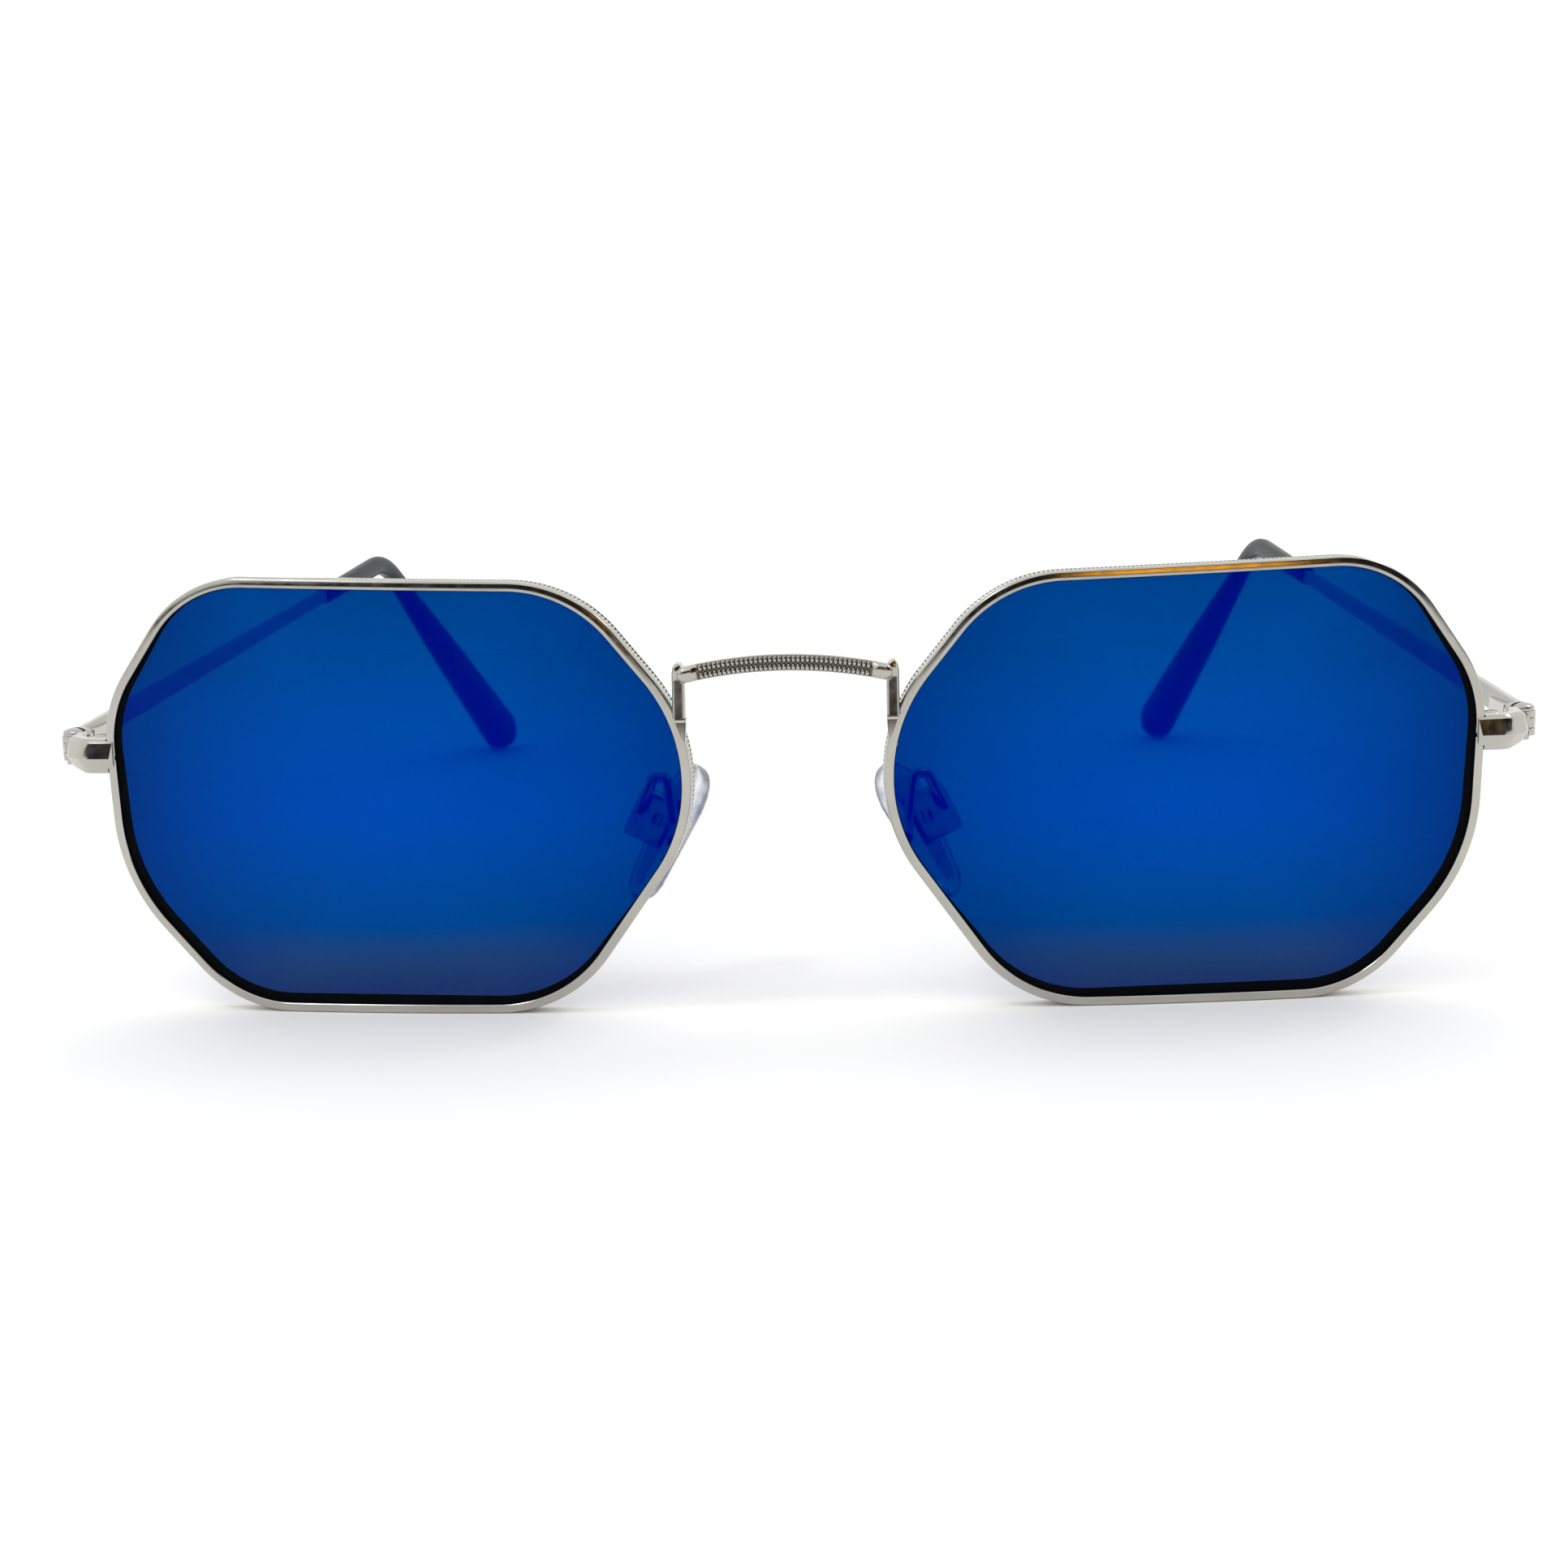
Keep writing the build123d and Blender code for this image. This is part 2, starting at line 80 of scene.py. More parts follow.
def solid(name, points, faces, cavity=None, smooth_below=35):
    """A mesh piece from points in millimetres, with edges sharper than smooth_below kept
    crisp.  cavity holds a number from 0 to 1 for each point, which the metals read as
    dirt and painted shade in their hollows and the lens as painted shade."""
    mesh = bpy.data.meshes.new(name)
    mesh.from_pydata([Vector(point) * MM for point in points], [], faces)
    if cavity is not None:
        layer = mesh.attributes.new("cavity", "FLOAT", "POINT")
        layer.data.foreach_set("value", cavity)
    tidy = bmesh.new()
    tidy.from_mesh(mesh)
    bmesh.ops.recalc_face_normals(tidy, faces=tidy.faces)
    tidy.to_mesh(mesh)
    tidy.free()
    mesh.shade_smooth()
    mesh.set_sharp_from_angle(angle=radians(smooth_below))
    return placed(name, mesh)


def tube(rings, closed=False):
    """Points and faces of a surface through rings of equally many points, with its two
    ends capped unless the last ring joins the first."""
    count = len(rings[0])
    points = [point for ring in rings for point in ring]
    faces = []
    for i in range(len(rings) if closed else len(rings) - 1):
        here = i * count
        there = (i + 1) % len(rings) * count
        for j in range(count):
            k = (j + 1) % count
            faces.append((here + j, here + k, there + k, there + j))
    if not closed:
        faces.append(tuple(range(count))[::-1])
        faces.append(tuple((len(rings) - 1) * count + j for j in range(count)))
    return points, faces


def oval(half_width, half_height, squareness=2.0, count=24):
    """Superellipse outline: 2 is an ellipse, and larger numbers are squarer."""
    outline = []
    for i in range(count):
        c = cos(2 * pi * i / count)
        s = sin(2 * pi * i / count)
        outline.append((
            half_width * abs(c) ** (2 / squareness) * (1 if c > 0 else -1),
            half_height * abs(s) ** (2 / squareness) * (1 if s > 0 else -1),
        ))
    return outline


def dressed(node, name, bevel, material, slot, body):
    """A copy of a CAD node with edges softened by the width of bevel, or left crisp when
    it is 0, which stands for the node."""
    source = frame["nodes"][node].data
    mesh = bpy.data.meshes.new(name)
    places = [vertex.co for vertex in source.vertices]
    mesh.from_pydata(places, [], [face.vertices for face in source.polygons])
    tidy = bmesh.new()
    tidy.from_mesh(mesh)
    bmesh.ops.remove_doubles(tidy, verts=tidy.verts, dist=WELD * MM)
    bmesh.ops.dissolve_limit(
        tidy,
        angle_limit=radians(FLAT_WITHIN),
        verts=tidy.verts,
        edges=tidy.edges,
    )
    bmesh.ops.recalc_face_normals(tidy, faces=tidy.faces)
    tidy.to_mesh(mesh)
    tidy.free()
    mesh.shade_smooth()
    piece = placed(name, mesh)
    if bevel:
        rounding = piece.modifiers.new("edges", "BEVEL")
        rounding.width = bevel * MM
        rounding.segments = BEVEL_STEPS
        rounding.limit_method = "ANGLE"
        rounding.angle_limit = radians(SOFTEN_ABOVE)
        rounding.use_clamp_overlap = True
        piece.modifiers.new("flat faces stay flat", "WEIGHTED_NORMAL")
        applied(piece)
    else:
        mesh.set_sharp_from_angle(angle=radians(CRISP_ABOVE))
    finished(piece, material, slot, body, node)


def applied(piece):
    """Turns the result of the piece's modifiers into its mesh."""
    shaped = piece.evaluated_get(bpy.context.evaluated_depsgraph_get())
    mesh = bpy.data.meshes.new_from_object(shaped)
    piece.modifiers.clear()
    piece.data = mesh


def finished(piece, material, slot, body, *nodes):
    """Gives a piece its material, sets it riding and hides what it replaces; slot is not used.
    """
    piece.data.materials.clear()
    piece.data.materials.append(material)
    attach(piece, body)
    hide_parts(*nodes)


def mirrored(points, side):
    """The left half's points, or their mirror image for the right half."""
    return [Vector((SIDES[side] * x, y, z)) for x, y, z in points]


# --- Materials ----------------------------------------------------------------------
METAL_COLOUR = (0.485, 0.475, 0.427)
# Dark colour of dirt and painted shade in hollows, where the cavity number is high
METAL_DIRT_AND_SHADE = (0.10, 0.095, 0.08)
ARM_COLOUR = (0.42, 0.41, 0.375)
SCREW_COLOUR = (0.46, 0.45, 0.43)
LENS_IOR = 2.6
LENS_MIRROR = (0.0, 0.01, 0.9)
# Colour seen through the lens, from its lowest point (0) to its highest (1)
LENS_TINTS = [
    (0.0, (0.04, 0.06, 0.0)),
    (0.15, (0.024, 0.064, 0.02)),
    (0.24, (0.0, 0.064, 0.14)),
    (0.5, (0.0, 0.06, 0.27)),
    (1.0, (0.0, 0.064, 0.16)),
]
# Colour of the painted shade at the lens's edge and on its tongue in the groove
LENS_PAINTED_SHADE = (0.0, 0.026, 0.01)
TINT_DRIFT = 4.0          # height by which the noise shifts the lens's colours
TIP_TONES = [(0.35, (0.010, 0.018, 0.018)), (0.7, (0.02, 0.031, 0.03))]
PAD_TONES = [(0.3, (0.76, 0.79, 0.86)), (0.7, (0.92, 0.94, 0.98))]
# Near-black of the painted shadow line at the lens's edge
SHADOW_LINE_TONES = [(0.3, (0.0006, 0.0008, 0.0015)), (0.7, (0.0015, 0.002, 0.004))]


def new_material(name, **sockets):
    """A material with one Principled shader, and its node tree for the patterns."""
    material = bpy.data.materials.new(name)
    material.use_nodes = True
    tree = material.node_tree
    shader = tree.nodes["Principled BSDF"]
    for socket, value in sockets.items():
        shader.inputs[socket.replace("_", " ")].default_value = value
    return material, tree, shader


def add_node(tree, kind, inputs=None, **settings):
    """Adds a node, with its settings, values for its inputs and links into them."""
    made = tree.nodes.new(kind)
    for name, value in settings.items():
        setattr(made, name, value)
    for name, value in (inputs or {}).items():
        if isinstance(value, bpy.types.NodeSocket):
            tree.links.new(value, made.inputs[name])
        else:
            made.inputs[name].default_value = value
    return made


def object_place(tree):
    """Place on the piece, in metres."""
    return add_node(tree, "ShaderNodeTexCoord").outputs["Object"]


def cavity_value(tree):
    """The number that solid() stored for each point."""
    return add_node(tree, "ShaderNodeAttribute", attribute_name="cavity").outputs["Fac"]


def noise(tree, place, scale, detail):
    """Noise from 0 to 1; a larger scale is finer."""
    inputs = {"Vector": place, "Scale": scale, "Detail": detail}
    return add_node(tree, "ShaderNodeTexNoise", inputs).outputs["Fac"]


def ramp(tree, source, stops):
    """Colour ramp driven by source, with (position, colour) stops."""
    made = add_node(tree, "ShaderNodeValToRGB", {"Fac": source})
    elements = made.color_ramp.elements
    for i, (position, colour) in enumerate(stops):
        element = elements[i] if i < 2 else elements.new(position)
        element.position = position
        element.color = (*colour, 1)
    return made.outputs["Color"]


def mapped(tree, source, low, high, to_low=0.0, to_high=1.0):
    """source stretched from the range low to high to the range to_low to to_high."""
    return add_node(tree, "ShaderNodeMapRange", {
        "Value": source,
        "From Min": low,
        "From Max": high,
        "To Min": to_low,
        "To Max": to_high,
    }).outputs["Result"]


def combined(tree, operation, *values):
    """Result of a sum or product of numbers."""
    made = add_node(tree, "ShaderNodeMath", dict(enumerate(values)), operation=operation)
    return made.outputs["Value"]


def mixed(tree, factor, plain, other):
    """Colour that goes from plain at factor 0 to other at factor 1."""
    inputs = {"Factor": factor, "A": plain, "B": other}
    return add_node(tree, "ShaderNodeMix", inputs, data_type="RGBA").outputs["Result"]


def add_relief(tree, shader, height, strength, depth):
    """Fine relief on the shader, up to depth millimetres deep."""
    inputs = {"Height": height, "Strength": strength, "Distance": depth * MM}
    relief = add_node(tree, "ShaderNodeBump", inputs)
    tree.links.new(relief.outputs["Normal"], shader.inputs["Normal"])


def metal(name, colour, roughness, grain, scratch):
    """Plated metal: faint cloudy tone, fine polishing lines, and dirt and painted shade in the
    grooves.
    grain is the scale of the lines and scratch their strength."""
    material, tree, shader = new_material(name, Metallic=1.0)
    place = object_place(tree)
    darker = [0.9 * channel for channel in colour]
    cloud = noise(tree, place, scale=160.0, detail=3.0)
    tone = ramp(tree, cloud, [(0.35, darker), (0.65, colour)])
    # Dirt and painted shade: darker where the cavity number is high
    with_dirt_and_shade = mixed(tree, cavity_value(tree), tone, (*METAL_DIRT_AND_SHADE, 1))
    tree.links.new(with_dirt_and_shade, shader.inputs["Base Color"])
    lines = noise(tree, place, scale=grain, detail=5.0)
    gloss = mapped(tree, lines, 0.3, 0.7, 0.7 * roughness, 1.4 * roughness)
    tree.links.new(gloss, shader.inputs["Roughness"])
    add_relief(tree, shader, lines, strength=scratch, depth=0.01)
    return material


def coated_lens():
    """Blue mirror coating: violet-brown low down, with painted shade darker towards the edge."""
    material, tree, shader = new_material(
        "mirror_coated_lens",
        Transmission_Weight=1.0,
        IOR=LENS_IOR,
        Roughness=0.02,
        Specular_Tint=(*LENS_MIRROR, 1),
    )
    place = object_place(tree)
    height = add_node(tree, "ShaderNodeSeparateXYZ", {"Vector": place}).outputs["Z"]
    drift = noise(tree, place, scale=30.0, detail=1.0)
    wavy = combined(tree, "MULTIPLY_ADD", drift, TINT_DRIFT * MM, height)
    low = corner("left_lens", 0).z * MM
    high = corner("left_lens", 1).z * MM
    tint = ramp(tree, mapped(tree, wavy, low, high), LENS_TINTS)
    # Painted shade: darker towards the edge where the cavity number is high
    with_painted_shade = mixed(tree, cavity_value(tree), tint, (*LENS_PAINTED_SHADE, 1))
    tree.links.new(with_painted_shade, shader.inputs["Base Color"])
    return material


def tip_plastic():
    """Dark grey-green cellulose: soft gloss, faint cloud and fine moulding marks."""
    material, tree, shader = new_material(
        "dark_tip_plastic",
        IOR=1.49,
        Specular_IOR_Level=0.12,
    )
    place = object_place(tree)
    tone = ramp(tree, noise(tree, place, scale=90.0, detail=4.0), TIP_TONES)
    tree.links.new(tone, shader.inputs["Base Color"])
    marks = noise(tree, place, scale=1500.0, detail=3.0)
    gloss = mapped(tree, marks, 0, 1, to_low=0.25, to_high=0.4)
    tree.links.new(gloss, shader.inputs["Roughness"])
    add_relief(tree, shader, marks, strength=0.12, depth=0.02)
    return material


def clear_silicone():
    """Clear silicone with a slightly frosted, dimpled skin."""
    material, tree, shader = new_material("clear_silicone", Transmission_Weight=1.0, IOR=1.41)
    place = object_place(tree)
    cloud = noise(tree, place, scale=400.0, detail=3.0)
    tree.links.new(ramp(tree, cloud, PAD_TONES), shader.inputs["Base Color"])
    frost = mapped(tree, cloud, 0, 1, to_low=0.08, to_high=0.3)
    tree.links.new(frost, shader.inputs["Roughness"])
    skin = add_node(tree, "ShaderNodeTexVoronoi", {"Vector": place, "Scale": 2200.0})
    add_relief(tree, shader, skin.outputs["Distance"], strength=0.25, depth=0.05)
    return material


def painted_edge_shadow():
    """Near-black painted shadow for the line at the lens's edge, very slightly uneven."""
    material, tree, shader = new_material(
        "painted_edge_shadow",
        Specular_IOR_Level=0.04,
        Roughness=0.6,
    )
    cloud = noise(tree, object_place(tree), scale=300.0, detail=2.0)
    tone = ramp(tree, cloud, SHADOW_LINE_TONES)
    tree.links.new(tone, shader.inputs["Base Color"])
    return material


plating = metal(
    "polished_plating", METAL_COLOUR, roughness=0.13, grain=900.0, scratch=0.12)
arm_plating = metal(
    "drawn_arm_plating", ARM_COLOUR, roughness=0.17, grain=700.0, scratch=0.16)
screw_steel = metal(
    "turned_steel", SCREW_COLOUR, roughness=0.24, grain=2600.0, scratch=0.3)
lens_glass = coated_lens()
shadow_line_paint = painted_edge_shadow()
tip_material = tip_plastic()
pad_material = clear_silicone()

# --- Shape of the front -------------------------------------------------------------
# Lens opening, before its corners are rounded: u towards the temple and v up
OPENING = [
    (-16.4, 18.75),
    (19.3, 19.65),
    (27.4, 8.0),
    (26.9, -7.8),
    (16.5, -19.9),
    (-14.6, -19.9),
    (-26.3, -3.4),
    (-26.3, 6.5),
]
OPENING_RADII = [12, 10, 11, 16, 11, 12, 14, 15]
FIRST_CORNER = 3          # of the opening, the one below the rim's joint
JOINT_LOW_V = 3.45        # the rim is split between these heights, at the temple
JOINT_TOP_V = 3.75
LENS_SPREAD = 36.1        # x of the lens's middle
WRAP = radians(4)         # how far each lens turns to its side
FRONT_RADIUS = 220.0      # of the sphere that the front surface follows
RIM_BAND = 0.9            # width of the rim, seen from the front
VERTEX_Y = -72.25         # of the front surface at the lens's middle
LENS_V0 = RIM_BAND - min(v for u, v in OPENING)     # z there: the rims touch the floor
TO_TEMPLE = Vector((cos(WRAP), sin(WRAP), 0))
TO_FRONT = Vector((sin(WRAP), -cos(WRAP), 0))
LENS_CENTRE = Vector((LENS_SPREAD, VERTEX_Y, LENS_V0))


def on_front(u, v, behind):
    """A place on the sphere that lies behind the rim's front surface by that depth."""
    depth = FRONT_RADIUS - sqrt((FRONT_RADIUS - behind) ** 2 - u * u - v * v)
    return LENS_CENTRE + u * TO_TEMPLE + Vector((0, 0, v)) - depth * TO_FRONT


def rounded_outline(corners, radii):
    """The arc at each corner of a closed outline, as (start, end, centre, turn)."""
    count = len(corners)
    arcs = []
    for i in range(count):
        before = Vector(corners[i - 1])
        here = Vector(corners[i])
        after = Vector(corners[(i + 1) % count])
        into = (here - before).normalized()
        out = (after - here).normalized()
        turn = into.angle(out)
        reach = radii[i] * tan(turn / 2)
        start = here - into * reach
        centre = start + Vector((into.y, -into.x)) * radii[i]
        arcs.append((start, here + out * reach, centre, turn))
    return arcs


def walk(spacing):
    """Points at even spacing round the opening, clockwise from the lower side of the
    rim's joint, each with its outward direction."""
    arcs = rounded_outline(OPENING, OPENING_RADII)
    runs = []
    for i in range(FIRST_CORNER, FIRST_CORNER + len(arcs)):
        start, end, centre, turn = arcs[i % len(arcs)]
        following = arcs[(i + 1) % len(arcs)][0]
        runs.append(("arc", start, end, centre, OPENING_RADII[i % len(arcs)], turn))
        runs.append(("line", end, following, None, 0, 0))
    last_start = arcs[FIRST_CORNER - 1][1]
    last_end = arcs[FIRST_CORNER][0]
    share = (JOINT_LOW_V - last_start.y) / (last_end.y - last_start.y)
    begin = last_start.lerp(last_end, share)
    runs[-1] = ("line", last_start, begin, None, 0, 0)
    runs.insert(0, ("line", begin, last_end, None, 0, 0))
    lengths = [(end - start).length if kind == "line" else radius * turn
               for kind, start, end, centre, radius, turn in runs]
    steps = ceil(sum(lengths) / spacing)
    stations = []
    for i in range(steps + 1):
        along = sum(lengths) * i / steps
        index = 0
        while index < len(runs) - 1 and along > lengths[index]:
            along -= lengths[index]
            index += 1
        kind, start, end, centre, radius, turn = runs[index]
        if kind == "line":
            ahead = (end - start).normalized()
            point = start + ahead * along
            outward = Vector((-ahead.y, ahead.x))
        else:
            angle = -along / radius
            spoke = start - centre
            outward = Vector((
                spoke.x * cos(angle) - spoke.y * sin(angle),
                spoke.x * sin(angle) + spoke.y * cos(angle),
            )).normalized()
            point = centre + outward * radius
        stations.append((point, outward))
    return stations


# --- Rim ----------------------------------------------------------------------------
TOOTH_SPACING = 0.2       # half the pitch of the milled edge
TOOTH_DEPTH = 0.1
TOOTH_DIRT_AND_SHADE = 0.6          # how much dirt and painted shade lies between the teeth
# The rim's section, as outward distance, depth behind the front, share of the tooth's
# depth that it takes and how much dirt and painted shade it holds: the flat front band, its
# shallow chamfer, the fine groove, the milled edge, the back and the groove for the lens
RIM_SECTION = [
    (0.00, 0.12, 0, 0.3),
    (0.04, 0.04, 0, 0),
    (0.08, 0.00, 0, 0),
    (0.12, 0.00, 0, 0),
    (0.32, 0.00, 0, 0),
    (0.36, 0.003, 0, 0),
    (0.40, 0.008, 0, 0),
    (0.70, 0.05, 0, 0),
    (0.74, 0.058, 0, 0),
    (0.81, 0.09, 0, 0),
    (0.87, 0.17, 0, 0),
    (0.90, 0.28, 0, 0),
    (0.90, 0.38, 0, 0),
    (0.79, 0.44, 0, 1),
    (0.79, 0.52, 0, 1),
    (0.90, 0.58, 1, 0),
    (0.90, 2.06, 1, 0),
    (0.80, 2.12, 0, 1),
    (0.80, 2.20, 0, 1),
    (0.88, 2.25, 0, 0),
    (0.88, 2.33, 0, 0),
    (0.80, 2.40, 0, 0),
    (0.10, 2.40, 0, 0),
    (0.00, 2.33, 0, 0),
    (0.00, 1.70, 0, 1),
    (0.45, 1.70, 0, 1),
    (0.45, 0.70, 0, 1),
    (0.00, 0.70, 0, 1),
]


def make_rim(side):
    """Rim swept round the opening from one side of its joint to the other."""
    stations = walk(TOOTH_SPACING)
    while stations[-1][0].y < JOINT_TOP_V and stations[-1][0].x > 0:
        stations.pop()
    rings = []
    cavity = []
    for i, (point, outward) in enumerate(stations):
        tooth = TOOTH_DEPTH * (i % 2)
        ring = []
        for reach, behind, toothed, dirt_and_shade in RIM_SECTION:
            u, v = point + outward * (reach - tooth * toothed)
            ring.append(on_front(u, v, behind))
            # Dirt and painted shade between the teeth and in the grooves
            cavity.append(max(dirt_and_shade, TOOTH_DIRT_AND_SHADE * toothed * (i % 2)))
        rings.append(mirrored(ring, side))
    points, faces = tube(rings)
    rim = solid(f"{side}_rim_milled", points, faces, cavity, smooth_below=28)
    finished(rim, plating, "polished_metal", "front", f"{side}_rim")


# --- Lens ---------------------------------------------------------------------------
LENS_RINGS = 26
LENS_FRONT = 0.4          # depths of its faces behind the rim's front
LENS_BACK = 2.2
LENS_INSET = 0.05         # of its faces inside the opening
LENS_SPACING = 0.5        # between its points round the outline
TONGUE = (0.40, 0.75, 1.65)      # reach, front and back of the tongue in the groove
# Painted shade on the faces at the edge: anywhere, more at both sides, and how much more
# at the temple side and less at the nose side
PAINTED_EDGE_SHADES = (0.5, 0.38, 0.12)
# The dark line is a painted shadow: a near-black sheet on the lens's front edge
LINE_WIDTH = 0.92         # of the dark line, where it is widest
LINE_LEAST = 0.05
LINE_SIDE = Vector((0.545, -0.839))     # where it is widest, from the lens's middle
LINE_SPREAD = 1.22        # how far round the outline it runs
# The painted shadow line's section, as share of its width in from the edge and depth
LINE_SECTION = [(0, 0.33), (1, 0.385), (1, 0.395), (0, 0.395)]


def painted_lens_shade(share, outward, behind):
    """Painted shade on the lens: softly darker outwards on its faces, and 1 on its tongue."""
    if behind not in (LENS_FRONT, LENS_BACK):
        return 1.0
    base, sides, temple = PAINTED_EDGE_SHADES
    return share ** 2 * (base + sides * abs(outward.x) + temple * outward.x)


def make_painted_shadow_line(side, stations, middle):
    """Sheet of painted shadow along the lens's front edge, widest below and at the temple."""
    rings = []
    for point, outward in stations:
        toward = (point - middle).normalized().dot(LINE_SIDE)
        away = min(1, (1 - toward) / LINE_SPREAD)
        width = max(LINE_LEAST, LINE_WIDTH * (1 - away * away))
        ring = [
            on_front(*(point - outward * (width * share)), behind)
            for share, behind in LINE_SECTION
        ]
        rings.append(mirrored(ring, side))
    points, faces = tube(rings, closed=True)
    line = solid(f"{side}_lens_painted_shadow_line", points, faces)
    finished(line, shadow_line_paint, "mirror_lens", "front", f"{side}_lens")


def make_lens(side):
    """Domed lens with rings of faces front and back, a tongue round its edge and the
    painted shadow line on its front."""
    stations = walk(LENS_SPACING)[:-1]
    middle = sum((point for point, outward in stations), Vector((0, 0))) / len(stations)

    def ring(share, reach, behind):
        """The outline drawn in to a share of its size, or grown by reach, at a depth."""
        return [
            on_front(*(middle + (point + outward * reach - middle) * share), behind)
            for point, outward in stations
        ]

    shares = [sin(pi / 2 * i / LENS_RINGS) for i in range(1, LENS_RINGS + 1)]
    reach, tongue_front, tongue_back = TONGUE
    levels = [(share, -LENS_INSET, LENS_FRONT) for share in shares]
    levels += [
        (1, -LENS_INSET, tongue_front),
        (1, reach, tongue_front),
        (1, reach, tongue_back),
        (1, -LENS_INSET, tongue_back),
    ]
    levels += [(share, -LENS_INSET, LENS_BACK) for share in reversed(shares)]
    rings = [ring(*level) for level in levels]
    # Painted shade for each point: darker outwards, and full on the tongue
    edge = [
        [painted_lens_shade(share, outward, behind) for point, outward in stations]
        for share, grown, behind in levels
    ]
    count = len(stations)
    points, faces = tube(rings)
    faces = faces[:-2]
    points += [on_front(*middle, LENS_FRONT), on_front(*middle, LENS_BACK)]
    last = (len(rings) - 1) * count
    for j in range(count):
        k = (j + 1) % count
        faces.append((len(points) - 2, k, j))
        faces.append((len(points) - 1, last + j, last + k))
    cavity = [value for values in edge for value in values] + [0.0, 0.0]
    lens = solid(f"{side}_lens_coated", mirrored(points, side), faces, cavity)
    finished(lens, lens_glass, "mirror_lens", "front", f"{side}_lens")
    make_painted_shadow_line(side, stations, middle)


# --- Bridge -------------------------------------------------------------------------
BEAD_PITCH = 0.42
BEAD_ROW = 0.36           # height of each row off the bar's middle line
BEAD_SIZE = (0.225, 0.36, 0.3)     # half its width and height, and how far it stands out
BEAD_DIRT_AND_SHADE = {-1: 0.25, 1: 0.18}    # how fast the dirt and painted shade fade up a bead, lower and upper row
BEADED_HALF = 7.9         # half the length that is beaded, along the bar
BRIDGE_HEIGHT = 1.5
BAR_INSIDE = 0.03         # how far its ends stay inside the CAD bar's
BAR_RISE = 0.02           # how much higher it arches than its box alone would give
BEAD_INSIDE = 0.01        # how far the beads stay behind the CAD bar's front
BAR_SUNK = 0.3            # depth of the bar's front behind the beads
BAR_STEP = 0.5            # length over which the bar comes forward beyond the beads
BAR_DIRT_AND_SHADE = 0.25         # depth of the dirt and painted shade on the bar between the beads
BAR_DEEP = 0.6            # share of its depth that the bar keeps at its very end
BAR_END = 0.004           # square of the share of its height that it keeps there
BAR_RINGS = 120
BEAD_LEVELS = 5           # steps from a bead's foot to its top
BEAD_SPOKES = 10
FOOT_DIRT_AND_SHADE = 0.85          # how much dirt and painted shade lies at a bead's foot


def bead(seat, sideways, up, dirt_and_shade_fade):
    """Points, faces and dirt and painted shade of half an egg that stands forward from its seat.
    """
    half_width, half_height, stand = BEAD_SIZE
    points = []
    dirt_and_shade = []
    for level in range(BEAD_LEVELS - 1):
        tilt = pi / 2 * level / BEAD_LEVELS
        for spoke in range(BEAD_SPOKES):
            turn = 2 * pi * spoke / BEAD_SPOKES
            points.append(
                seat
                + sideways * (half_width * cos(turn) * cos(tilt))
                + up * (half_height * sin(turn) * cos(tilt))
                - Vector((0, stand * sin(tilt), 0))
            )
            dirt_and_shade.append(max(0.0, FOOT_DIRT_AND_SHADE - dirt_and_shade_fade * level))
    points.append(seat - Vector((0, stand, 0)))
    dirt_and_shade.append(0.0)
    top = len(points) - 1
    faces = []
    for level in range(BEAD_LEVELS - 1):
        for spoke in range(BEAD_SPOKES):
            a = level * BEAD_SPOKES + spoke
            b = level * BEAD_SPOKES + (spoke + 1) % BEAD_SPOKES
            if level < BEAD_LEVELS - 2:
                faces.append((a, b, b + BEAD_SPOKES, a + BEAD_SPOKES))
            else:
                faces.append((a, b, top))
    faces.append(tuple(range(BEAD_SPOKES))[::-1])
    return points, faces, dirt_and_shade


